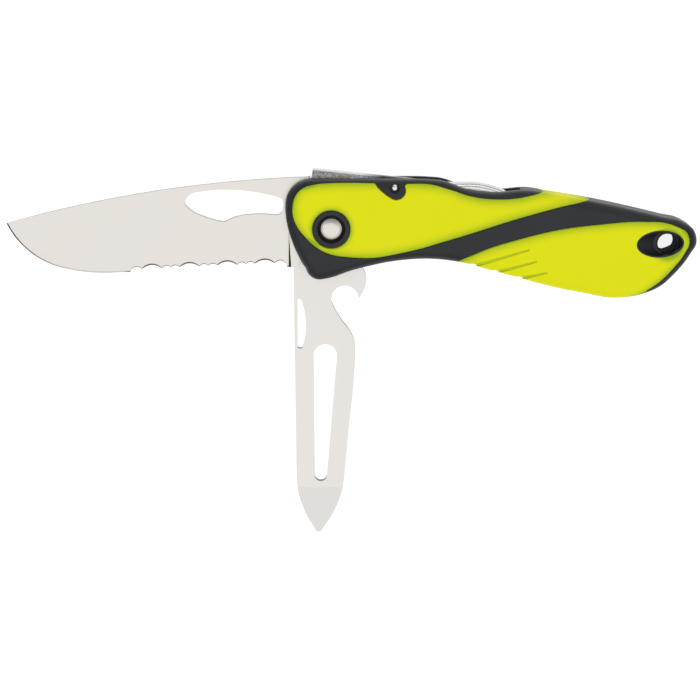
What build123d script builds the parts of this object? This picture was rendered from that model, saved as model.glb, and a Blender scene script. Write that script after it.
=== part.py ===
from build123d import *
import os
from math import cos, radians, sqrt, tan

# A folding rigging knife: a drop-point blade with a serrated heel and a flat marlinspike share one
# pivot, and one lock lever along the spine serves both. The knife lies on its side. The working
# drawing below has its origin on the pivot's axis at mid thickness, +X to the butt, +Y to the spine
# and +Z up through the upper side. place() moves every finished piece to the part's own origin.

# Overall places along the knife, millimetres
BLADE_TIP = (-93.9, 1.1)
SPIKE_TIP = (-4.0, -91.0)
BUTT_X = 105.2
LEVER_TOP_AT_REST = 17.0

# Handle
HALF_THICKNESS = 7.8
EDGE_ROUND = 3.0
SPINE_Y = 14.2
INNER_FACE_Z = 2.75
LINER_THICKNESS = 1.0
LINER_INSET = 1.0
POCKET_INSET = 0.95
WALL_THICKNESS = 1.4
PARTING_GAP = 0.03
GRIP_THICKNESS = 1.2
GRIP_GROOVE = 0.12
RING_RADIUS = 5.3
COUNTERBORE_RADIUS = 4.05
COUNTERBORE_FLOOR_Z = 5.6
BORDER_LEAN = 0.25
LANYARD = (96.7, -4.3)
LANYARD_RADIUS = 2.75
LANYARD_BUSH_RADIUS = 4.0
DISH_FLOOR_Z = 5.0
DISH_TURN = 3.4
DISH_MOUTH_CENTRE = (94.4, -4.2)
DISH_MOUTH = (6.4, 3.45)
DISH_FLOOR_CENTRE = (96.35, -4.2)
DISH_FLOOR = (3.65, 3.25)
DISH_RIM = 0.35
PIN_RECESS_RADIUS = 1.5
PIN_RECESS_FLOOR_Z = 6.6
DOWEL_SOCKET_Z = 5.6
GROOVE_DEPTH = 0.35
GROOVE_HALF_WIDTHS = (0.66, 0.24)
GROOVE_RUNOUT = 4.0
CREST_STEPS = ((7.42, 0.0), (7.66, 0.14), (7.81, 0.42))

# Tools on the pivot
TOOL_THICKNESS = 2.5
TOOL_GAP = 0.2
TOOL_BORE = 2.53
CAM_RADIUS = 9.4
NOTCH_FLOOR = 7.3
NOTCH_REAR = -1.2
NOTCH_TOP_ABOVE_PIN = 4.2
REST_FLAT = 7.35
BLADE_CLOSED_ANGLE = 173.0
SPIKE_CLOSED_ANGLE = 87.0
SPIKE_OPEN_ANGLE = -90.0
EDGE_HALF_THICKNESS = 0.32
GRIND_WIDTH = 10.6
EDGE_BEVEL_WIDTH = 0.42
EDGE_BEVEL_HALF = 0.12
PLUNGE_X = -12.3
PLUNGE_SLANT = 36.0
SMALL_SCALLOP = (2.5, 0.64)
BIG_SCALLOP = (5.9, 1.25)
FIRST_SCALLOP = (3.0, 0.75)
LAST_SCALLOP = (2.95, 0.69)
SERRATION_START_X = -57.9
SCALLOP_NEAR_TILT = 30.0
SCALLOP_FAR_TILT = 58.0
TIP_BEVEL_Y = -77.3
TIP_BEVEL_ANGLE = 4.4

# Fasteners
BARREL_RADIUS = 2.5
STUD_RADIUS = 1.5
HEAD_RADIUS = 3.75
HEAD_RIM = 0.85
HEAD_RISE = 1.1
WASHER_RADIUS = 6.0
LEVER_PIN = (18.2, 11.8)
LEVER_PIN_RADIUS = 1.0
LEVER_BORE = 1.03
DOWEL_RADIUS = 1.25
DOWELS = ((88.0, 1.1), (97.8, -10.2))

# Lock lever, drawn flush, stored raised
LEVER_HALF_WIDTH = 2.65
LEVER_TOP = 14.5
LEVER_NOSE_X = -5.7
PAD_CROWN = 1.7
LEVER_FACE_RADIUS = 24.6
SHOULDER_RADIUS = 24.72
LEVER_RAISED = 6.0
TOOTH_BOTTOM = 7.5
SPRING_ROOT = (57.5, 8.0)
SPRING_BEAD = 0.75
SPRING_HALF = 0.3


def place(shape):
    """Moves a piece from the working drawing to the part's frame: middle of the footprint, base at zero."""
    middle_x = (BLADE_TIP[0] + BUTT_X) / 2
    middle_y = (SPIKE_TIP[1] + LEVER_TOP_AT_REST) / 2
    return Pos(-middle_x, -middle_y, HALF_THICKNESS) * shape


def turn(shape, angle, centre=(0, 0)):
    """Turns a shape about an axis along Z through centre."""
    return Pos(*centre) * Rot(0, 0, angle) * Pos(-centre[0], -centre[1]) * shape


def slab(face, low, high):
    """The face as a plate from low to high."""
    return extrude(Pos(0, 0, low) * face, amount=high - low, dir=(0, 0, 1))


def rod(radius, low, high, centre=(0, 0)):
    """A round bar along Z."""
    return slab(Circle(radius), low, high).moved(Location((centre[0], centre[1], 0)))


def mirrored(shape):
    """The same piece on the knife's lower side."""
    return mirror(shape, about=Plane.XY)


def block(low, high):
    """A box between two corners."""
    size = [high[i] - low[i] for i in range(3)]
    middle = [(high[i] + low[i]) / 2 for i in range(3)]
    return Pos(*middle) * Box(*size)


def arc_or_line(start, end, tangent):
    """The arc from start to end that leaves start along tangent, or a line where it would be straight."""
    chord = Vector(*end) - Vector(*start)
    if abs(chord.normalized().cross(tangent.normalized()).Z) < 1e-4:
        return Line(start, end)
    return TangentArc(start, end, tangent=tangent)


def smooth_run(points, first, last):
    """Tangent arcs through the points, two to a span, leaving along first and arriving along last."""
    places = [Vector(*point) for point in points]
    tangents = [Vector(*first).normalized()]
    for before, here, after in zip(places, places[1:], places[2:]):
        back_step = here - before
        next_step = after - here
        tangents.append((back_step * next_step.length**2 + next_step * back_step.length**2).normalized())
    tangents.append(Vector(*last).normalized())
    pieces = []
    for start, end, leave, arrive in zip(places, places[1:], tangents, tangents[1:]):
        chord = end - start
        both = leave + arrive
        bend = 2 * (1 - leave.dot(arrive))
        if bend < 1e-9:
            reach = chord.dot(chord) / (4 * chord.dot(arrive))
        else:
            reach = (sqrt(chord.dot(both) ** 2 + bend * chord.dot(chord)) - chord.dot(both)) / bend
        joint = (start + end + (leave - arrive) * reach) * 0.5
        pieces.append(arc_or_line((start.X, start.Y), (joint.X, joint.Y), leave))
        pieces.append(arc_or_line((joint.X, joint.Y), (end.X, end.Y), pieces[-1] % 1))
    return pieces


def face_from(*runs):
    """A flat face whose border is the given curves and lists of curves, end to end."""
    pieces = []
    for run in runs:
        pieces += run if isinstance(run, list) else [run]
    return make_face(pieces)


def round_corners(face, radius, *corners):
    """The face with its corners at the given points rounded."""

    def is_chosen(vertex):
        return any((Vector(*corner) - Vector(vertex.X, vertex.Y)).length < 0.05 for corner in corners)

    return fillet([vertex for vertex in face.vertices() if is_chosen(vertex)], radius)


# Handle outline and its regions


def handle_outline():
    """The handle's side view: straight spine, thumb notch, falling back, round butt, waved belly."""
    spine = Line((-5.5, SPINE_Y), (22.0, SPINE_Y))
    shoulder = [(22.0, SPINE_Y), (28.0, 14.05), (32.0, 13.65), (34.8, 12.75), (37.4, 11.7), (40.6, 10.9)]
    thumb_notch = [(44.3, 10.45), (48.0, 10.35), (51.5, 10.7), (55.0, 11.0)]
    falling = [(64.0, 9.8), (73.0, 8.3), (81.0, 6.7), (95.0, 3.42)]
    turning = [(101.1, 1.9), (104.35, -0.5), (BUTT_X, -3.6)]
    back = smooth_run(shoulder + thumb_notch + falling + turning, (1, 0), (0, -1))
    butt = [(BUTT_X, -3.6), (103.05, -8.0), (98.65, -13.5), (95.0, -16.75), (91.0, -18.65)]
    swell = [(83.8, -20.1), (70.0, -18.2), (46.0, -12.15), (37.0, -9.75), (28.5, -8.8)]
    waist = [(19.0, -9.35), (8.0, -11.6), (-2.9, -14.8)]
    belly = smooth_run(butt + swell + waist, (0, -1), (-1, -0.12))
    toe = TangentArc((-2.9, -14.8), (-7.2, -12.0), tangent=(-1, -0.12))
    front_run = [(-7.2, -12.0), (-8.5, -9.9), (-10.75, -5.2), (-12.4, -0.2), (-13.25, 6.6)]
    front = smooth_run(front_run, toe % 1, (0, 1))
    brow = smooth_run([(-13.25, 6.6), (-11.05, 11.95), (-5.5, SPINE_Y)], (0, 1), (1, 0))
    return face_from(spine, back, belly, toe, front, brow)


def inset(face, distance):
    """The outline drawn smaller by distance all round."""
    return offset(face, amount=-distance)


def wall_region(outline):
    """The closed back and butt: a band inside the outline where the two shells meet."""
    band = outline - inset(outline, WALL_THICKNESS)
    reach = make_face(
        Polyline((54.5, 20), (120, 20), (120, -15.6), (96.8, -15.6), (96.8, -6), (54.5, 2), close=True)
    )
    return band & reach


def front_grip_region(gap=0.0):
    """The front grip's border, which runs off the spine behind the thumb notch."""
    top = smooth_run([(-3.6, 13.15), (1.0, 13.4), (6.0, 13.45), (12.4, 13.35)], (1, 0.12), (1, 0))
    drop_in = smooth_run([(12.4, 13.35), (14.2, 11.4), (17.0, 9.25)], (0.6, -0.8), (0.85, -0.5))
    drop_out = ThreePointArc((17.0, 9.25), (20.4, 9.35), (20.3, 13.15))
    under_run = [(20.3, 13.15), (29.0, 12.9), (34.0, 11.5), (40.0, 9.6)]
    under_notch = smooth_run([*under_run, (46.9, 8.75), (54.0, 9.2), (60.8, 10.85)], (1, 0), (0.9, 0.35))
    outside = Polyline((60.8, 10.85), (61.5, 14.0), (79.0, 11.0), (75.2, 8.35))
    lower_run = [(75.2, 8.35), (72.8, 7.9), (69.0, 7.05), (57.0, 3.85), (34.1, -3.25), (22.6, -6.5)]
    lower_front = [(8.2, -8.45), (-3.3, -6.1), (-9.0, -0.8)]
    lower = smooth_run(lower_run + lower_front, (-0.96, -0.2), (-0.62, 0.78))
    left = smooth_run([(-9.0, -0.8), (-11.3, 5.6), (-9.7, 10.7), (-3.6, 13.15)], (-0.62, 0.78), (1, 0.12))
    face = face_from(top, drop_in, drop_out, under_notch, outside, lower, left)
    face = round_corners(face, 0.8, (20.3, 13.15), (12.4, 13.35))
    return offset(face, amount=-gap) if gap else face


def rear_grip_region(gap=0.0):
    """The rear grip's border, which wraps over the belly and leaves a thin frame round the butt."""
    top_run = [(36.2, -9.6), (42.7, -6.35), (54.2, -2.6), (65.6, 0.1), (77.1, 1.6), (89.0, 2.4), (97.2, 1.6)]
    top = smooth_run([*top_run, (101.3, -0.1)], (0.78, 0.62), (0.9, -0.45))
    back_run = [(101.3, -0.1), (103.0, -3.2), (101.25, -7.7), (98.3, -11.5), (95.0, -14.9), (91.1, -17.75)]
    back = smooth_run(back_run, (0.9, -0.45), (-0.8, -0.6))
    outside = Polyline((91.1, -17.75), (87.0, -24.0), (33.0, -24.0), (33.0, -12.5), (36.2, -9.6))
    face = face_from(top, back, outside)
    return offset(face, amount=-gap) if gap else face


def lanyard_dish(grow=0.0):
    """The oval dish that eases a cord into the lanyard hole, as a solid to cut away."""
    ovals = (
        (DISH_MOUTH_CENTRE, HALF_THICKNESS + 0.01, DISH_MOUTH),
        (DISH_FLOOR_CENTRE, DISH_FLOOR_Z, DISH_FLOOR),
    )
    sections = []
    for (x, y), z, (long_radius, short_radius) in ovals:
        oval = Rot(0, 0, DISH_TURN) * Ellipse(long_radius + grow, short_radius + grow)
        sections.append(Pos(x, y, z) * oval)
    return loft(sections)


def half_handle(outline):
    """One side of the handle as a full block with its outer edge rounded."""
    solid = slab(outline, PARTING_GAP, HALF_THICKNESS)
    return fillet(solid.edges().group_by(Axis.Z)[-1], EDGE_ROUND)


def shrunk(outline, depth):
    """The half handle drawn smaller by depth on every outer face."""
    solid = slab(inset(outline, depth), -1, HALF_THICKNESS - depth)
    return fillet(solid.edges().group_by(Axis.Z)[-1], EDGE_ROUND - depth)


def channel(outline):
    """The space between the shells for tools, lever, spring and spacer, and the liner's pocket."""
    open_area = outline - wall_region(outline)
    gap = slab(open_area, -1, INNER_FACE_Z)
    pocket = slab(inset(outline, POCKET_INSET), INNER_FACE_Z, INNER_FACE_Z + LINER_THICKNESS + 0.02)
    return gap + pocket


def grip_grooves(outline):
    """Shallow slanting finger grooves that widen towards the belly and run off it."""
    starts = ((42.1, -10.3), (48.4, -12.15), (55.5, -14.0))
    ends = ((56.9, -5.9), (59.0, -9.3), (62.1, -12.5))
    wide, narrow = GROOVE_HALF_WIDTHS
    faces = None
    for start, end in zip(starts, ends):
        along = (Vector(*end) - Vector(*start)).normalized()
        across = Vector(-along.Y, along.X)
        outer = Vector(*start) - along * GROOVE_RUNOUT
        inner = Vector(*end)
        upper_side = [outer + across * wide, inner + across * narrow]
        lower_side = [inner - across * narrow, outer - across * wide]
        groove = make_face(Polyline(*[(c.X, c.Y) for c in upper_side + lower_side], close=True))
        faces = groove if faces is None else faces + groove
    return slab(faces, -1, 9) - shrunk(outline, GROOVE_DEPTH)


def leaning(region, lean):
    """A prism below the crest whose border moves towards the butt by lean for each millimetre down."""
    top = CREST_STEPS[0][0]
    depth = top + 1
    return Solid.extrude((Pos(0, 0, top) * region).face(), (lean * depth, 0, -depth))


def crowned(region, lean=0.0):
    """A prism over the region whose top border is eased in two slopes, so that a grip stands proud softly."""
    solid = leaning(region, lean)
    for (low, narrow), (high, narrower) in zip(CREST_STEPS, CREST_STEPS[1:]):
        under = Pos(0, 0, low) * (inset(region, narrow) if narrow else region)
        over = Pos(0, 0, high) * inset(region, narrower)
        solid += loft([under, over], ruled=True)
    return solid


def eased_window(radius):
    """A round window through a grip with the same eased rim, as a solid to cut away."""
    solid = rod(radius, -1, 9)
    for (low, wide), (high, wider) in zip(CREST_STEPS, CREST_STEPS[1:]):
        solid += Pos(0, 0, (low + high) / 2) * Cone(radius + wide, radius + wider, high - low)
    return solid


# Handle pieces


def shell(outline, block_solid, core_solid):
    """The moulded upper shell: pockets for both grips, the pivot's ring, pin recess, dish and channel."""
    skin = block_solid - core_solid
    front_pocket = leaning(front_grip_region(), BORDER_LEAN)
    front_pocket += slab(front_grip_region(), CREST_STEPS[0][0], 9)
    body = block_solid - (skin & (front_pocket - rod(RING_RADIUS, -2, 10)))
    body -= skin & (slab(rear_grip_region(), -1, 9) - lanyard_dish(DISH_RIM))
    body -= channel(outline)
    body -= rod(BARREL_RADIUS, 0, 9)
    body -= rod(COUNTERBORE_RADIUS, COUNTERBORE_FLOOR_Z, 9)
    body -= rod(LEVER_PIN_RADIUS, 0, 9, LEVER_PIN)
    body -= rod(PIN_RECESS_RADIUS, PIN_RECESS_FLOOR_Z, 9, LEVER_PIN)
    body -= lanyard_dish()
    body -= rod(LANYARD_RADIUS, -1, 9, LANYARD)
    for dowel in DOWELS:
        body -= rod(DOWEL_RADIUS, 0, DOWEL_SOCKET_Z, dowel)
    return body


def front_grip(outline, block_solid, core_solid):
    """The soft front grip, a skin over the shell with a round window for the pivot's ring."""
    region = front_grip_region(GRIP_GROOVE)
    grip = ((block_solid - core_solid) & crowned(region, BORDER_LEAN)) - channel(outline)
    return grip - eased_window(RING_RADIUS + GRIP_GROOVE)


def rear_grip(outline, block_solid, core_solid):
    """The soft rear grip, wrapped over the belly, grooved, with a window for the lanyard dish."""
    region = rear_grip_region(GRIP_GROOVE)
    grip = ((block_solid - core_solid) & crowned(region)) - channel(outline)
    return grip - lanyard_dish(DISH_RIM + GRIP_GROOVE) - grip_grooves(outline)


def liner(outline):
    """A steel side plate, drawn on the upper side."""
    plate = slab(inset(outline, LINER_INSET), INNER_FACE_Z, INNER_FACE_Z + LINER_THICKNESS)
    plate -= rod(BARREL_RADIUS, 0, 9)
    plate -= rod(LEVER_PIN_RADIUS, 0, 9, LEVER_PIN)
    plate -= rod(LANYARD_BUSH_RADIUS + 0.02, 0, 9, LANYARD)
    for dowel in DOWELS:
        plate -= rod(DOWEL_RADIUS, 0, 9, dowel)
    return plate


def back_spacer(outline):
    """The moulded spacer above the folded tools, with the spring's socket and the lanyard hole's bush."""
    inner = inset(outline, WALL_THICKNESS + 0.08)
    under = [(63.0, 6.3), (72.0, 4.95), (79.0, 3.05), (84.2, 0.6), (88.3, -3.0), (92.0, -7.6), (95.2, -13.4)]
    reach = face_from(
        Polyline((95.2, -13.4), (120, -13.4), (120, 20), (55.2, 20), (55.2, 6.35), (63.0, 6.3)),
        smooth_run(under, (1, -0.05), (0.35, -1)),
    )
    body = slab(inner & reach, -INNER_FACE_Z, INNER_FACE_Z)
    bush_end = INNER_FACE_Z + LINER_THICKNESS
    body += rod(LANYARD_BUSH_RADIUS, -bush_end, bush_end, LANYARD)
    body -= rod(LANYARD_RADIUS, -9, 9, LANYARD)
    for dowel in DOWELS:
        body -= rod(DOWEL_RADIUS, -9, 9, dowel)
    socket = Pos(*SPRING_ROOT) * Circle(SPRING_BEAD + 0.05)
    root_x, root_y = SPRING_ROOT
    mouth = make_face(
        Polyline((root_x, root_y + 0.45), (54.0, 8.95), (54.0, 6.75), (root_x, root_y - 0.45), close=True)
    )
    return body - slab(socket + mouth, -3, 3)


# Tools


def tooth_notch():
    """The tang's notch for the lever's tooth, its front wall an arc about the lever's pin."""
    front_low_x = LEVER_PIN[0] - sqrt(SHOULDER_RADIUS**2 - (LEVER_PIN[1] - NOTCH_FLOOR) ** 2)
    top_y = LEVER_PIN[1] + NOTCH_TOP_ABOVE_PIN
    front_top_x = LEVER_PIN[0] - sqrt(SHOULDER_RADIUS**2 - NOTCH_TOP_ABOVE_PIN**2)
    face = make_face(
        [
            Line((front_low_x, NOTCH_FLOOR), (NOTCH_REAR, NOTCH_FLOOR)),
            Line((NOTCH_REAR, NOTCH_FLOOR), (NOTCH_REAR, top_y)),
            Line((NOTCH_REAR, top_y), (front_top_x, top_y)),
            ThreePointArc(
                (front_top_x, top_y),
                (LEVER_PIN[0] - SHOULDER_RADIUS, LEVER_PIN[1]),
                (front_low_x, NOTCH_FLOOR),
            ),
        ]
    )
    return slab(face, -5, 5)


def thumb_hole():
    """The blade's long opening hole, with a cusp on its lower side."""
    top_run = [(-42.25, 7.1), (-41.2, 9.0), (-36.0, 10.55), (-30.4, 10.9), (-24.5, 10.6), (-13.7, 8.3)]
    top = smooth_run(top_run, (0, 1), (1, -0.3))
    right = Line((-13.7, 8.3), (-14.3, 3.5))
    low_run = [(-14.3, 3.5), (-22.2, 3.8), (-27.3, 3.1), (-30.8, 1.5)]
    low_right = smooth_run(low_run, (-1, 0.02), (-0.85, -0.5))
    low_left = smooth_run([(-30.8, 1.5), (-36.8, 3.1), (-40.4, 4.85), (-42.25, 7.1)], (-0.95, 0.15), (0, 1))
    face = face_from(top, right, low_right, low_left)
    face = round_corners(face, 1.7, (-13.7, 8.3), (-14.3, 3.5))
    return round_corners(face, 0.4, (-30.8, 1.5))


def blade_belly():
    """The cutting edge from the plunge to the point: a long straight, then two tangent arcs."""
    straight = Line((PLUNGE_X, -11.6), (-64.3, -13.35))
    sweep_up = TangentArc((-64.3, -13.35), (-78.0, -11.9), tangent=straight % 1)
    to_tip = TangentArc((-78.0, -11.9), BLADE_TIP, tangent=sweep_up % 1)
    return [straight, sweep_up, to_tip]


def grind_cutter(width, edge_half, full_half):
    """A wedge that follows the edge and thins the blade's upper face towards it."""
    path = Wire(blade_belly())
    start = path @ 0
    inward = Vector(0.033, 1, 0).normalized()
    section_plane = Plane(origin=start, x_dir=inward, z_dir=path % 0)
    side = 1 if section_plane.y_dir.Z > 0 else -1
    rise = (full_half - edge_half) / width
    over = 2.0
    section = section_plane * make_face(
        Polyline(
            (-over, side * (edge_half - rise * over)),
            (width, side * full_half),
            (width, side * (full_half + over)),
            (-over, side * (full_half + over)),
            close=True,
        )
    )
    return sweep(section, path=path, transition=Transition.ROUND)


def scallop_cutter(middle, crest, size, tilt):
    """A grinding cylinder tilted by tilt, whose cut at mid thickness has the scallop's width and depth."""
    width, depth = size
    sagitta = depth * cos(radians(tilt))
    radius = ((width / 2) ** 2 + sagitta**2) / (2 * sagitta)
    drop = radius / cos(radians(tilt))
    return Pos(middle, crest - drop, 0) * Rot(tilt, 0, 0) * Cylinder(radius, 18)


def serrations():
    """Scallops ground into the heel of the edge: a bright steep facet above, a longer one below."""
    group = (BIG_SCALLOP, SMALL_SCALLOP, SMALL_SCALLOP)
    pattern = (FIRST_SCALLOP, *group, *group, *group, BIG_SCALLOP, LAST_SCALLOP)
    x = SERRATION_START_X
    cutters = None
    for size in pattern:
        middle = x + size[0] / 2
        tips_y = -12.3 + 0.046 * (middle + 55)
        for tilt in (-SCALLOP_NEAR_TILT, SCALLOP_FAR_TILT):
            cutter = scallop_cutter(middle, tips_y + size[1], size, tilt)
            cutters = cutter if cutters is None else cutters + cutter
        x += size[0]
    return cutters


def plunge_slant():
    """The sloping shoulder where the grind ends, deepest at the edge and gone where the flat starts."""
    half = TOOL_THICKNESS / 2
    rise = (half - EDGE_HALF_THICKNESS) / GRIND_WIDTH
    sections = []
    for depth in (0.05, 1.2 * GRIND_WIDTH):
        y = -11.6 + GRIND_WIDTH - depth
        drop = depth * rise
        triangle = Polyline(
            (PLUNGE_X - 0.01, y, half + 0.01),
            (PLUNGE_X - 0.01, y, half - drop),
            (PLUNGE_X + drop * tan(radians(PLUNGE_SLANT)), y, half + 0.01),
            close=True,
        )
        sections.append(make_face(triangle))
    return loft(sections)


def tang_relief(closed_angle):
    """The flat that the lever's tooth rests over when the tool is folded, as a solid to cut away."""
    return turn(block((-12, REST_FLAT, -5), (4.6, 14, 5)), -closed_angle)


def blade():
    """The near tool: drop-point blade, ground below the middle, with its tang round the pivot."""
    spine = ThreePointArc(BLADE_TIP, (-50.2, 10.55), (-5.6, 14.6))
    belly = blade_belly()
    heel = Polyline((-5.6, 14.6), (0, 14.6), (0, 0), (-9.25, -10.2), (-10.4, -11.6), (PLUNGE_X, -11.6))
    face = make_face([spine, *belly, heel])
    face = round_corners(face, 0.6, (-10.4, -11.6))
    face = face - make_face(Polyline((-5.4, 20), (5, 20), (5, 0), (-5.4, 0), close=True)) + Circle(CAM_RADIUS)
    face = face - thumb_hole() - Circle(TOOL_BORE)
    half = TOOL_THICKNESS / 2
    body = slab(face, -half, half)
    grind = grind_cutter(GRIND_WIDTH, EDGE_HALF_THICKNESS, half)
    bevel = grind_cutter(EDGE_BEVEL_WIDTH, EDGE_BEVEL_HALF, EDGE_HALF_THICKNESS + 0.04)
    for half_cut in (grind, bevel, plunge_slant()):
        body -= half_cut
        body -= mirrored(half_cut)
    body -= serrations()
    body -= tooth_notch() + tang_relief(BLADE_CLOSED_ANGLE)
    return Pos(0, 0, half + TOOL_GAP / 2) * body


def spike_outline():
    """The marlinspike's side view in the square-open position, pointing down."""
    left = Line((-11.12, -5.0), (-10.35, -73.0))
    left_tip = smooth_run([(-10.35, -73.0), (-9.9, -78.4), (-7.5, -85.7), (-5.0, -90.0)], left % 1, (0.6, -1))
    nose = ThreePointArc((-5.0, -90.0), SPIKE_TIP, (-2.75, -90.2))
    right_tip = smooth_run([(-2.75, -90.2), (0.1, -85.7), (3.0, -78.4), (3.85, -72.5)], (0.55, 1), (0.1, 1))
    right = smooth_run([(3.85, -72.5), (4.95, -60.3), (6.6, -44.0), (6.95, -37.0)], (0.1, 1), (0, 1))
    swell_run = [(6.95, -37.0), (6.5, -33.3), (5.1, -30.4), (2.75, -27.3), (0.45, -23.2)]
    swell = smooth_run(swell_run, (0, 1), (-0.4, 1))
    gap_entry = smooth_run([(0.45, -23.2), (-0.08, -21.6)], (-0.4, 1), (0, 1))
    gap = ThreePointArc((-0.08, -21.6), (3.95, -17.35), (7.75, -20.4))
    hook_end = Line((7.75, -20.4), (8.05, -21.1))
    hook = smooth_run([(8.05, -21.1), (9.75, -17.9), (10.15, -14.9), (8.6, -11.6)], (0.5, 1), (-0.7, 1))
    neck = Polyline((8.6, -11.6), (7.4, -9.6), (7.4, 0), (-6, 0), (-11.12, -5.0))
    pieces = [left, left_tip, nose, right_tip, right, swell, gap_entry, gap, hook_end, hook, neck]
    return face_from(*pieces)


def nail_slot():
    """The crescent slot that a fingernail catches to swing the spike out."""
    straight = Polyline((-8.9, -21.2), (-9.98, -21.3), (-9.98, -35.8), (-8.6, -35.95))
    bulge = ThreePointArc((-8.6, -35.95), (-7.45, -28.7), (-8.9, -21.2))
    face = make_face([straight, bulge])
    return round_corners(face, 0.45, (-8.9, -21.2), (-9.98, -21.3), (-9.98, -35.8), (-8.6, -35.95))


def shackle_slot():
    """The long tapering slot that takes a shackle's key pin."""
    wide = Pos(-1.85, -38.05) * Circle(3.45)
    narrow = Pos(-3.2, -73.6) * Circle(1.85)
    return make_hull(wide.edges() + narrow.edges())


def spike():
    """The far tool: a flat marlinspike with shackle slot, bottle opener and nail slot."""
    face = spike_outline() + Circle(CAM_RADIUS)
    face = face - shackle_slot() - nail_slot() - Circle(TOOL_BORE)
    half = TOOL_THICKNESS / 2
    body = slab(face, -half, half)
    wedge = Pos(0, TIP_BEVEL_Y, half) * Rot(TIP_BEVEL_ANGLE, 0, 0) * block((-20, -30, 0), (20, 0, 6))
    body -= wedge
    body -= mirrored(wedge)
    body -= turn(tooth_notch(), -SPIKE_OPEN_ANGLE)
    body -= block((-9, REST_FLAT, -5), (NOTCH_REAR, 14, 5))
    body -= tang_relief(SPIKE_CLOSED_ANGLE)
    return Pos(0, 0, -half - TOOL_GAP / 2) * body


# Lock


def lock_lever():
    """The rocker along the spine: tooth in front, pin in the middle, thumb pad behind."""
    px, py = LEVER_PIN
    top_x = px - sqrt(LEVER_FACE_RADIUS**2 - (LEVER_TOP - py) ** 2)
    low_x = px - sqrt(LEVER_FACE_RADIUS**2 - (py - TOOTH_BOTTOM) ** 2)
    pad = [(33.0, LEVER_TOP), (37.5, 15.0), (41.5, 15.35), (45.8, 15.0), (50.6, 13.6)]
    tooth_back = [(16.1, 10.9), (14.6, 11.3), (-0.2, 11.3), (-1.5, 10.4), (-1.5, TOOTH_BOTTOM)]
    face = face_from(
        Line((top_x, LEVER_TOP), (33.0, LEVER_TOP)),
        smooth_run(pad, (1, 0), (0.9, -0.4)),
        Line((50.6, 13.6), (50.8, 11.2)),
        Line((50.8, 11.2), (20.6, 9.75)),
        ThreePointArc((20.6, 9.75), (px, py - 2.35), (16.1, 10.9)),
        Polyline(*tooth_back, (low_x, TOOTH_BOTTOM)),
        ThreePointArc((low_x, TOOTH_BOTTOM), (px - LEVER_FACE_RADIUS, py), (top_x, LEVER_TOP)),
    )
    face = face - Pos(px, py) * Circle(LEVER_BORE)
    nose = Polyline((LEVER_NOSE_X, 16), (LEVER_NOSE_X - 0.1, 12.1), (-6.6, 11.4), (-8, 16), close=True)
    face = face - make_face(nose)
    body = slab(face, -LEVER_HALF_WIDTH, LEVER_HALF_WIDTH)

    def borders_pad(edge):
        middle = edge @ 0.5
        return middle.X > 33.05 and middle.Y > 13.4 and abs((edge % 0.5).Z) < 0.1

    body = fillet([edge for edge in body.edges() if borders_pad(edge)], PAD_CROWN)
    return turn(body, -LEVER_RAISED, LEVER_PIN)


def lever_spring():
    """The leaf under the lever's tail: a beaded root in the spacer, cranked, as it lies at rest."""
    half = SPRING_HALF
    leaf = make_face(
        Polyline(
            (43.0, 7.4 - half),
            (53.2, 7.4 - half),
            (SPRING_ROOT[0], SPRING_ROOT[1] - half),
            (SPRING_ROOT[0], SPRING_ROOT[1] + half),
            (53.0, 7.4 + half),
            (43.0, 7.4 + half),
            close=True,
        )
    )
    face = leaf + Pos(*SPRING_ROOT) * Circle(SPRING_BEAD) + Pos(43.0, 7.4) * Circle(half)
    return slab(face, -2.0, 2.0)


# Fasteners


def domed_head(radius, base_z, rim, rise):
    """A low spherical dome on a short rim, standing on base_z."""
    ball = (radius**2 + rise**2) / (2 * rise)
    cap = rod(radius, base_z, base_z + rim + rise + 1)
    return cap & (Pos(0, 0, base_z + rim + rise - ball) * Sphere(ball))


def pivot_barrel():
    """The hollow pivot with a polished dome on the upper side."""
    body = domed_head(HEAD_RADIUS, COUNTERBORE_FLOOR_Z, HEAD_RIM, HEAD_RISE)
    body += rod(BARREL_RADIUS, -5.5, COUNTERBORE_FLOOR_Z)
    return body - rod(STUD_RADIUS, -6, 4.5)


def pivot_stud():
    """The solid stud pressed into the barrel, with a matching dome on the lower side."""
    head = mirrored(domed_head(HEAD_RADIUS, COUNTERBORE_FLOOR_Z, HEAD_RIM, HEAD_RISE))
    return head + rod(STUD_RADIUS, -COUNTERBORE_FLOOR_Z, 4.3)


def lever_pin():
    """The lever's axle, with small domed ends set in the recesses of both shells."""
    end = domed_head(LEVER_PIN_RADIUS, PIN_RECESS_FLOOR_Z, 0.3, 0.4)
    shank = rod(LEVER_PIN_RADIUS, -PIN_RECESS_FLOOR_Z, PIN_RECESS_FLOOR_Z)
    return Pos(*LEVER_PIN) * (shank + end + mirrored(end))


def washer(low, high):
    """A thin bronze washer on the pivot."""
    return rod(WASHER_RADIUS, low, high) - rod(BARREL_RADIUS + 0.02, low - 1, high + 1)


def spacer_pins():
    """The dowels that hold shells, liners and spacer in line."""
    return Compound([rod(DOWEL_RADIUS, -5.5, 5.5, dowel) for dowel in DOWELS])


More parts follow.
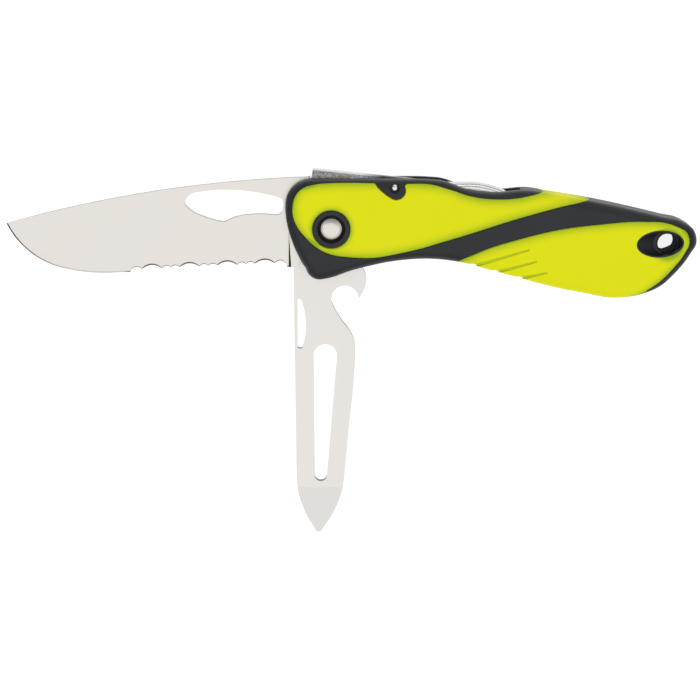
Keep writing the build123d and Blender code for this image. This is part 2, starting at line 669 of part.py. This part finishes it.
def build():
    """Every node of the knife, by name."""
    outline = handle_outline()
    block_solid = half_handle(outline)
    core_solid = shrunk(outline, GRIP_THICKNESS)
    upper_shell = shell(outline, block_solid, core_solid)
    upper_front = front_grip(outline, block_solid, core_solid)
    upper_rear = rear_grip(outline, block_solid, core_solid)
    upper_liner = liner(outline)
    tool_low = TOOL_GAP / 2
    tool_high = tool_low + TOOL_THICKNESS
    return {
        "blade": blade(),
        "spike": spike(),
        "lock_lever": lock_lever(),
        "lever_spring": lever_spring(),
        "back_spacer": back_spacer(outline),
        "upper_shell": upper_shell,
        "lower_shell": mirrored(upper_shell),
        "upper_front_grip": upper_front,
        "lower_front_grip": mirrored(upper_front),
        "upper_rear_grip": upper_rear,
        "lower_rear_grip": mirrored(upper_rear),
        "upper_liner": upper_liner,
        "lower_liner": mirrored(upper_liner),
        "pivot_barrel": pivot_barrel(),
        "pivot_stud": pivot_stud(),
        "lever_pin": lever_pin(),
        "blade_washer": washer(tool_high + 0.02, INNER_FACE_Z - 0.01),
        "middle_washer": washer(-tool_low + 0.02, tool_low - 0.02),
        "spike_washer": washer(-INNER_FACE_Z + 0.01, -tool_high - 0.02),
        "spacer_pins": spacer_pins(),
    }


os.makedirs("parts", exist_ok=True)
for name, piece in build().items():
    export_step(place(piece), "parts/" + name + ".step")
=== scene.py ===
import math

import bpy
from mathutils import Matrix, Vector

MM = 0.001

# Places on the knife, in millimetres: half its thickness, the rounding of its sides, two upright axes
HALF_THICKNESS = 7.8
EDGE_ROUND = 3.0
PIVOT = (-5.65, 37.0)
LANYARD = (91.0, 32.7)
PIVOT_RING_RADIUS = 5.4
LANYARD_RING_RADIUS = 4.2
LANYARD_WALL = (2.9, 3.1)

# Borders of the soft grips, millimetres: height along the handle, and the end's place by height
FRONT_BELOW = [
    (-17, 43), (-14.6, 36.2), (-9, 30.9), (2.5, 28.6), (17, 30.5), (28.5, 33.8), (51.3, 40.9), (70, 45.4),
]
FRONT_ABOVE = [
    (-17, 43), (-15.3, 47.7), (-9.2, 50.2), (15, 50.4), (23.4, 49.9),
    (34.4, 46.6), (41.3, 45.7), (55, 47.8), (70, 52),
]
FRONT_END = [(28, -9), (30.9, -9), (36.2, -14.6), (42.6, -17), (47.7, -15.3), (50.2, -9.3), (52, -9)]
REAR_BELOW = [(28, 20), (60, 12), (96, 12)]
REAR_ABOVE = [
    (28, 24), (37, 30.7), (48.5, 34.4), (60, 37.1), (71.5, 38.6), (83.3, 39.4), (91.5, 38.6), (96, 36.9),
]
REAR_END = [
    (17, 80), (19.2, 85.5), (22.1, 89.3), (25.5, 92.6), (29.3, 95.6), (33.8, 97.3), (36.9, 95.6), (40, 98),
]

# Widths over which painted shade turns the yellow darker and greener: inside a grip's border, and round
# the pivot or lanyard window
BORDER_FADE = 3.6
RING_FADE = 2.2

# Stretches along the handle, millimetres, where one look gives way to the next: painted light on the
# blade's edge bevel, painted shade on the lever's middle, and the lever's polished pad
EDGE_LIGHT_START = (-97.0, -82.0)
EDGE_LIGHT_END = (-66.0, -63.5)
MIDDLE_SHADE_START = (3.0, 9.0)
MIDDLE_SHADE_END = (26.0, 28.0)
PAD_START = (27.0, 29.5)

# Camera and floor
CAMERA_TARGET = (-0.275, 0.7, 7.8)
CAMERA_DISTANCE = 760
CAMERA_LEAN = 9.5
CAMERA_LENS = 133.9
FLOOR_HALF_SIDE = 3.0

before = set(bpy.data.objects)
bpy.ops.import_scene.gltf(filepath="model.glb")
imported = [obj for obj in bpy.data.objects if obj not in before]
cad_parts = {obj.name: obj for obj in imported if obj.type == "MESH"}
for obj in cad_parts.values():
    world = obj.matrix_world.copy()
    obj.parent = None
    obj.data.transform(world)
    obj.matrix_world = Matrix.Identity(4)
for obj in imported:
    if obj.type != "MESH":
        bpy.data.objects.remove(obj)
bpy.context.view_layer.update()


# Node helpers


class Nodes:
    """Adds nodes to one material and links them as they are made."""

    def __init__(self, name):
        self.material = bpy.data.materials.new(name)
        self.material.use_nodes = True
        self.tree = self.material.node_tree
        self.shader = self.tree.nodes["Principled BSDF"]
        self.coords = self.tree.nodes.new("ShaderNodeTexCoord")

    def add(self, kind, **settings):
        node = self.tree.nodes.new(kind)
        for key, value in settings.items():
            setattr(node, key, value)
        return node

    def link(self, source, target):
        self.tree.links.new(source, target)

    def put(self, socket, value):
        """Links an output or sets a constant, whichever value is."""
        if isinstance(value, bpy.types.NodeSocket):
            self.link(value, socket)
        else:
            socket.default_value = value

    def place(self, scale=(1, 1, 1)):
        """Object coordinates in millimetres, stretched by scale."""
        mapping = self.add("ShaderNodeMapping")
        mapping.inputs["Scale"].default_value = [1000 * s for s in scale]
        self.link(self.coords.outputs["Object"], mapping.inputs["Vector"])
        return mapping.outputs["Vector"]

    def noise(self, vector, scale, detail=3.0, roughness=0.55):
        node = self.add("ShaderNodeTexNoise")
        self.link(vector, node.inputs["Vector"])
        node.inputs["Scale"].default_value = scale
        node.inputs["Detail"].default_value = detail
        node.inputs["Roughness"].default_value = roughness
        return node.outputs["Fac"]

    def cells(self, vector, scale):
        node = self.add("ShaderNodeTexVoronoi")
        self.link(vector, node.inputs["Vector"])
        node.inputs["Scale"].default_value = scale
        return node.outputs["Distance"]

    def remap(self, value, low, high, to_low, to_high):
        node = self.add("ShaderNodeMapRange")
        self.link(value, node.inputs["Value"])
        node.inputs["From Min"].default_value = low
        node.inputs["From Max"].default_value = high
        node.inputs["To Min"].default_value = to_low
        node.inputs["To Max"].default_value = to_high
        return node.outputs["Result"]

    def maths(self, operation, first, second=0.0):
        """One Math node; second is ignored where the operation takes a single value."""
        node = self.add("ShaderNodeMath", operation=operation)
        self.put(node.inputs[0], first)
        self.put(node.inputs[1], second)
        return node.outputs["Value"]

    def mix(self, factor, first, second):
        node = self.add("ShaderNodeMix", data_type="RGBA")
        self.put(node.inputs["Factor"], factor)
        self.put(node.inputs["A"], first)
        self.put(node.inputs["B"], second)
        return node.outputs["Result"]

    def mix_value(self, factor, first, second):
        node = self.add("ShaderNodeMix", data_type="FLOAT")
        self.put(node.inputs["Factor"], factor)
        self.put(node.inputs["A"], first)
        self.put(node.inputs["B"], second)
        return node.outputs["Result"]

    def axis(self, vector, name):
        """One component of a vector."""
        node = self.add("ShaderNodeSeparateXYZ")
        self.link(vector, node.inputs["Vector"])
        return node.outputs[name]

    def border(self, x, points):
        """The height, in millimetres, of a smooth line through points at x."""
        xs = [p[0] for p in points]
        ys = [p[1] for p in points]
        node = self.add("ShaderNodeFloatCurve")
        curve = node.mapping.curves[0]
        length = xs[-1] - xs[0]
        rise = max(ys) - min(ys)
        spots = [((px - xs[0]) / length, (py - min(ys)) / rise) for px, py in points]
        curve.points[0].location = spots[0]
        curve.points[-1].location = spots[-1]
        for spot in spots[1:-1]:
            curve.points.new(*spot)
        node.mapping.update()
        self.link(self.remap(x, xs[0], xs[-1], 0.0, 1.0), node.inputs["Value"])
        return self.remap(node.outputs["Value"], 0.0, 1.0, min(ys), max(ys))

    def reach_from(self, x, y, centre):
        """Distance in millimetres from an upright axis through centre."""
        across = self.maths("SUBTRACT", x, centre[0])
        along = self.maths("SUBTRACT", y, centre[1])
        across_squared = self.maths("MULTIPLY", across, across)
        along_squared = self.maths("MULTIPLY", along, along)
        return self.maths("SQRT", self.maths("ADD", across_squared, along_squared))

    def side_mask(self):
        """1 on faces that look up or down, 0 on edges and walls."""
        split = self.add("ShaderNodeSeparateXYZ")
        self.link(self.coords.outputs["Normal"], split.inputs["Vector"])
        height = self.maths("ABSOLUTE", split.outputs["Z"])
        return self.remap(height, 0.6, 0.8, 0.0, 1.0)

    def bump(self, height, distance, strength=1.0, under=None):
        node = self.add("ShaderNodeBump")
        node.inputs["Strength"].default_value = strength
        node.inputs["Distance"].default_value = distance
        self.link(height, node.inputs["Height"])
        if under is not None:
            self.link(under, node.inputs["Normal"])
        return node.outputs["Normal"]

    def finish(self, **inputs):
        """Sets the shader's sockets by name, with spaces written as underscores."""
        for key, value in inputs.items():
            self.put(self.shader.inputs[key.replace("_", " ")], value)
        return self.material


def colour(r, g, b):
    return (r, g, b, 1.0)


def grey(level):
    return colour(level, level, level)


# Materials


def satin_steel(name, tint, along, roughness):
    """Ground tool steel: fine scratches along the tool, painted shade on the walls, and painted light and
    shade on the bevels towards the edge or tip.
    """
    n = Nodes(name)
    spot = n.place()
    scratch_scale = (0.05, 6.0, 6.0) if along == "x" else (6.0, 0.05, 6.0)
    streaks = n.noise(n.place(scratch_scale), 1.0, 4.0, 0.65)
    clouds = n.noise(spot, 0.045, 2.0)
    grain = n.noise(spot, 9.0, 2.0)
    normal = n.coords.outputs["Normal"]
    faces = n.side_mask()
    darker = colour(*[0.965 * c for c in tint])
    base = n.mix(n.remap(streaks, 0.3, 0.7, 0.0, 1.0), darker, colour(*tint))
    base = n.mix(n.remap(clouds, 0.35, 0.65, 0.0, 0.12), base, colour(0.54, 0.54, 0.545))
    if along == "x":
        x = n.axis(spot, "X")
        facing_edge = n.maths("MULTIPLY", n.axis(normal, "Y"), -1.0)
        facing_tip = n.maths("MULTIPLY", n.axis(normal, "X"), -1.0)
        ground = n.remap(n.maths("MAXIMUM", facing_edge, facing_tip), 0.22, 0.4, 0.0, 1.0)
        # painted light and shade on the edge bevel: bright along the middle stretch, dark brown towards
        # the tip and the serrations
        from_tip = n.remap(x, *EDGE_LIGHT_START, 0.0, 1.0)
        to_serrations = n.remap(x, *EDGE_LIGHT_END, 1.0, 0.0)
        lit_edge_stretch = n.maths("MULTIPLY", from_tip, to_serrations)
        edge_light_and_shade = n.mix(lit_edge_stretch, colour(0.085, 0.055, 0.03), colour(0.92, 0.90, 0.86))
        # painted shade: the walls are painted a darker grey
        base = n.mix(faces, colour(0.36, 0.355, 0.345), base)
        base = n.mix(ground, base, edge_light_and_shade)
    else:
        # painted shade: the tip's bevel is painted a little darker
        tip_painted_shade = n.remap(n.axis(normal, "Y"), -0.02, -0.05, 0.0, 0.6)
        base = n.mix(tip_painted_shade, base, colour(0.53, 0.517, 0.503))
        # painted shade: the walls are painted a dark brown-grey
        base = n.mix(faces, colour(0.17, 0.155, 0.14), base)
    rough_face = n.remap(streaks, 0.3, 0.7, roughness - 0.04, roughness + 0.06)
    rough = n.mix_value(faces, 0.42, rough_face)
    height = n.mix_value(faces, grain, streaks)
    return n.finish(Base_Color=base, Metallic=1.0, Roughness=rough, Normal=n.bump(height, 0.004 * MM, 0.4))


def lever_steel(name):
    """The lever: granular blanked sides, bright nose, painted shade on the middle where it runs between
    the shells, and polished thumb pad.
    """
    n = Nodes(name)
    spot = n.place()
    coarse = n.noise(spot, 1.5, 5.0, 0.75)
    fine = n.noise(spot, 7.0, 3.0, 0.6)
    rust = n.noise(spot, 0.7, 3.0)
    faces = n.side_mask()
    x = n.axis(spot, "X")
    polished = n.remap(x, *PAD_START, 0.0, 1.0)
    # painted shade: the middle of the lever, where it runs between the shells, is painted near black
    painted_middle_shade = n.maths("MULTIPLY", n.remap(x, *MIDDLE_SHADE_START, 0.0, 1.0), n.remap(x, *MIDDLE_SHADE_END, 1.0, 0.0))
    grains = n.remap(coarse, 0.36, 0.62, 0.0, 1.0)
    sides = n.mix(grains, colour(0.065, 0.062, 0.058), colour(0.49, 0.48, 0.465))
    sides = n.mix(n.remap(rust, 0.5, 0.7, 0.0, 0.35), sides, colour(0.26, 0.20, 0.14))
    grainy = n.maths("MULTIPLY", faces, n.maths("SUBTRACT", 1.0, polished))
    base = n.mix(grainy, colour(0.60, 0.59, 0.575), sides)
    base = n.mix(painted_middle_shade, base, colour(0.05, 0.05, 0.052))
    rough = n.mix_value(grainy, 0.2, n.remap(fine, 0.3, 0.7, 0.34, 0.6))
    height = n.mix_value(grainy, n.noise(spot, 14.0, 2.0), coarse)
    depth = n.bump(height, 0.05 * MM, 0.25)
    return n.finish(Base_Color=base, Metallic=1.0, Roughness=rough, Normal=depth)


def plain_steel(name, tint, roughness):
    """Cold-rolled or polished small parts with light handling marks."""
    n = Nodes(name)
    marks = n.noise(n.place(), 1.7, 4.0, 0.6)
    fine = n.noise(n.place(), 14.0, 2.0)
    base = n.mix(n.remap(marks, 0.3, 0.7, 0.0, 1.0), colour(*[0.9 * c for c in tint]), colour(*tint))
    rough = n.remap(marks, 0.3, 0.7, roughness * 0.7, roughness * 1.4)
    return n.finish(Base_Color=base, Metallic=1.0, Roughness=rough, Normal=n.bump(fine, 0.004 * MM, 0.4))


def turned_steel(name, centre):
    """Polished pivot heads with the lathe's faint rings about their axis."""
    n = Nodes(name)
    spot = n.place()
    radius = n.reach_from(n.axis(spot, "X"), n.axis(spot, "Y"), centre)
    rings = n.maths("SINE", n.maths("MULTIPLY", radius, 11.0))
    uneven = n.noise(spot, 1.3, 3.0)
    turned = n.maths("MULTIPLY", rings, n.remap(uneven, 0.3, 0.7, 0.1, 1.0))
    crest = n.remap(turned, -1.0, 1.0, 0.0, 1.0)
    base = n.mix(crest, colour(0.46, 0.44, 0.405), colour(0.62, 0.60, 0.56))
    rough = n.remap(uneven, 0.3, 0.7, 0.1, 0.16)
    return n.finish(Base_Color=base, Metallic=1.0, Roughness=rough, Normal=n.bump(turned, 0.012 * MM, 0.5))


def black_plastic(name):
    """Glass-filled black moulding with a fine spark-eroded texture and a trace of dust in it."""
    n = Nodes(name)
    pits = n.cells(n.place(), 5.5)
    fine = n.noise(n.place(), 7.0, 4.0, 0.6)
    broad = n.noise(n.place(), 0.09, 2.0)
    dust = n.remap(fine, 0.35, 0.7, 0.0, 1.0)
    base = n.mix(dust, colour(0.0085, 0.0095, 0.0125), colour(0.0145, 0.016, 0.020))
    base = n.mix(n.remap(broad, 0.35, 0.65, 0.0, 0.35), base, colour(0.018, 0.0195, 0.0245))
    spot = n.place()
    from_cord = n.reach_from(n.axis(spot, "X"), n.axis(spot, "Y"), LANYARD)
    # painted shade: the lanyard hole's wall is painted near black, and made matt
    painted_hole_shade = n.remap(from_cord, *LANYARD_WALL, 1.0, 0.0)
    base = n.mix(painted_hole_shade, base, colour(0.0012, 0.0012, 0.0015))
    rough = n.mix_value(painted_hole_shade, n.remap(fine, 0.3, 0.7, 0.40, 0.54), 0.95)
    low = n.bump(pits, 0.03 * MM, 0.35)
    return n.finish(
        Base_Color=base,
        Roughness=rough,
        Specular_IOR_Level=0.3,
        Normal=n.bump(fine, 0.02 * MM, 0.5, low),
    )


def yellow_grip(name, below, above, end, end_side, ring):
    """Soft overmoulded elastomer: lime yellow, with painted shade, darker and greener, near its borders
    and in its grooves.
    """
    n = Nodes(name)
    spot = n.place()
    x = n.axis(spot, "X")
    y = n.axis(spot, "Y")
    skin = n.noise(spot, 4.5, 4.0, 0.6)
    broad = n.noise(spot, 0.06, 2.0)
    pores = n.cells(spot, 3.2)
    mottle = n.remap(skin, 0.3, 0.7, 0.0, 1.0)
    base = n.mix(mottle, colour(0.725, 0.745, 0.003), colour(0.775, 0.79, 0.004))
    base = n.mix(n.remap(broad, 0.35, 0.65, 0.0, 0.3), base, colour(0.80, 0.77, 0.004))
    centre, radius = ring
    ring_margin = n.maths("SUBTRACT", n.reach_from(x, y, centre), radius)
    margins = (
        n.maths("SUBTRACT", y, n.border(x, below)),
        n.maths("SUBTRACT", n.border(x, above), y),
        n.maths("MULTIPLY", n.maths("SUBTRACT", x, n.border(y, end)), end_side),
        n.maths("MULTIPLY", ring_margin, BORDER_FADE / RING_FADE),
    )
    margin = BORDER_FADE
    for other in margins:
        margin = n.maths("MINIMUM", margin, other)
    # painted shade: the yellow is painted darker and greener near its borders, round the ring and in the
    # grooves
    painted_yellow_shade = n.remap(margin, 0.0, BORDER_FADE, 1.0, 0.0)
    painted_yellow_shade = n.maths("MULTIPLY", painted_yellow_shade, painted_yellow_shade)
    # depth below the side's rounded surface, for the painted shade in a groove: nothing on the surface
    # itself, more in a groove
    height = n.maths("ABSOLUTE", n.maths("SUBTRACT", n.axis(spot, "Z"), HALF_THICKNESS))
    level = n.maths("ABSOLUTE", n.axis(n.coords.outputs["Normal"], "Z"))
    over_round = n.maths("SUBTRACT", height, HALF_THICKNESS - EDGE_ROUND)
    depth = n.maths("SUBTRACT", EDGE_ROUND, n.maths("DIVIDE", over_round, level))
    in_groove = n.remap(depth, 0.12, 0.3, 0.0, 0.5)
    not_upright = n.remap(level, 0.3, 0.5, 0.0, 1.0)
    painted_groove_shade = n.maths("MULTIPLY", in_groove, not_upright)
    painted_yellow_shade = n.maths("MAXIMUM", painted_yellow_shade, painted_groove_shade)
    base = n.mix(painted_yellow_shade, base, colour(0.30, 0.45, 0.014))
    rough = n.remap(skin, 0.3, 0.7, 0.5, 0.64)
    low = n.bump(pores, 0.02 * MM, 0.25)
    return n.finish(
        Base_Color=base,
        Roughness=rough,
        Specular_IOR_Level=0.12,
        Subsurface_Weight=0.1,
        Subsurface_Radius=(0.9, 0.9, 0.2),
        Subsurface_Scale=0.6 * MM,
        Normal=n.bump(skin, 0.015 * MM, 0.5, low),
    )


def glowing_floor(name):
    """The pale floor: a diffusing sheet lit from below too, so it stays nearly free of shadow."""
    n = Nodes(name)
    tooth = n.noise(n.place(), 0.6, 3.0)
    base = n.mix(n.remap(tooth, 0.3, 0.7, 0.0, 1.0), grey(0.36), grey(0.38))
    return n.finish(
        Base_Color=base,
        Roughness=0.9,
        Specular_IOR_Level=0.0,
        Emission_Color=grey(1.0),
        Emission_Strength=0.86,
    )


def dress_nodes():
    """Gives every CAD node its material."""
    blade = satin_steel("blade_steel", (0.587, 0.557, 0.523), "x", 0.30)
    spike = satin_steel("spike_steel", (0.596, 0.577, 0.550), "y", 0.32)
    lever = lever_steel("lever_steel")
    spring = plain_steel("spring_steel", (0.55, 0.55, 0.57), 0.28)
    liner = plain_steel("liner_steel", (0.62, 0.62, 0.63), 0.30)
    polished = plain_steel("pin_steel", (0.68, 0.65, 0.60), 0.24)
    turned = turned_steel("turned_steel", PIVOT)
    bronze = plain_steel("bronze", (0.62, 0.40, 0.18), 0.28)
    black = black_plastic("handle_black")
    pivot_ring = (PIVOT, PIVOT_RING_RADIUS)
    lanyard_ring = (LANYARD, LANYARD_RING_RADIUS)
    front = yellow_grip("front_grip_yellow", FRONT_BELOW, FRONT_ABOVE, FRONT_END, 1.0, pivot_ring)
    rear = yellow_grip("rear_grip_yellow", REAR_BELOW, REAR_ABOVE, REAR_END, -1.0, lanyard_ring)
    worn = {
        blade: ["blade"],
        spike: ["spike"],
        lever: ["lock_lever"],
        spring: ["lever_spring", "spacer_pins"],
        liner: ["upper_liner", "lower_liner"],
        polished: ["lever_pin"],
        turned: ["pivot_barrel", "pivot_stud"],
        bronze: ["blade_washer", "middle_washer", "spike_washer"],
        black: ["upper_shell", "lower_shell", "back_spacer"],
        front: ["upper_front_grip", "lower_front_grip"],
        rear: ["upper_rear_grip", "lower_rear_grip"],
    }
    for material, names in worn.items():
        for name in names:
            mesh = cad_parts[name].data
            mesh.materials.clear()
            mesh.materials.append(material)


# Setting: floor, light and camera


def look_at(thing, target):
    direction = Vector(target) - thing.location
    thing.rotation_euler = direction.to_track_quat("-Z", "Y").to_euler()


def floor():
    """A wide pale floor under the knife."""
    side = FLOOR_HALF_SIDE
    mesh = bpy.data.meshes.new("floor")
    corners = [(-side, -side, 0), (side, -side, 0), (side, side, 0), (-side, side, 0)]
    mesh.from_pydata(corners, [], [(0, 1, 2, 3)])
    obj = bpy.data.objects.new("floor", mesh)
    bpy.context.collection.objects.link(obj)
    mesh.materials.append(glowing_floor("floor_sheet"))


def area_light(name, place, target, size, power):
    data = bpy.data.lights.new(name, "AREA")
    data.shape = "ELLIPSE"
    data.size = size[0]
    data.size_y = size[1]
    data.energy = power
    obj = bpy.data.objects.new(name, data)
    obj.location = place
    bpy.context.collection.objects.link(obj)
    look_at(obj, target)


def surround():
    """An even tent: brightest straight up, dimmer to the horizon, darkest beyond the spine."""
    world = bpy.data.worlds.new("surround")
    world.use_nodes = True
    tree = world.node_tree
    coords = tree.nodes.new("ShaderNodeTexCoord")
    split = tree.nodes.new("ShaderNodeSeparateXYZ")
    tree.links.new(coords.outputs["Generated"], split.inputs["Vector"])

    def ramp(source, low, high, to_low, to_high):
        node = tree.nodes.new("ShaderNodeMapRange")
        values = {"From Min": low, "From Max": high, "To Min": to_low, "To Max": to_high}
        for key, value in values.items():
            node.inputs[key].default_value = value
        tree.links.new(source, node.inputs["Value"])
        return node.outputs["Result"]

    sky = ramp(split.outputs["Z"], 0.1, 0.8, 0.3, 0.98)
    beyond_spine = ramp(split.outputs["Y"], 0.2, 0.8, 1.0, 0.35)
    strength = tree.nodes.new("ShaderNodeMath")
    strength.operation = "MULTIPLY"
    tree.links.new(sky, strength.inputs[0])
    tree.links.new(beyond_spine, strength.inputs[1])
    background = tree.nodes["Background"]
    tree.links.new(strength.outputs["Value"], background.inputs["Strength"])
    background.inputs["Color"].default_value = grey(1.0)
    bpy.context.scene.world = world


def lights():
    """Soft panels: one overhead, one beyond the spine."""
    centre = (0, 0, 0)
    area_light("overhead", (-0.05, -0.2, 1.1), centre, (2.0, 1.6), 3.6)
    area_light("spine_side", (0.15, 0.9, 0.5), centre, (1.2, 0.4), 2.0)


def camera():
    """The view from above the handle's upper side, leaning a little towards the spine."""
    lean = math.radians(CAMERA_LEAN)
    target = Vector(CAMERA_TARGET) * MM
    data = bpy.data.cameras.new("camera")
    data.sensor_width = 36.0
    data.lens = CAMERA_LENS
    data.clip_start = 0.01
    obj = bpy.data.objects.new("camera", data)
    obj.location = target + Vector((0, math.sin(lean), math.cos(lean))) * CAMERA_DISTANCE * MM
    obj.rotation_euler = (-lean, 0, 0)
    bpy.context.collection.objects.link(obj)
    bpy.context.scene.camera = obj


camera()
dress_nodes()
floor()
surround()
lights()
bpy.context.scene.view_settings.view_transform = "Standard"
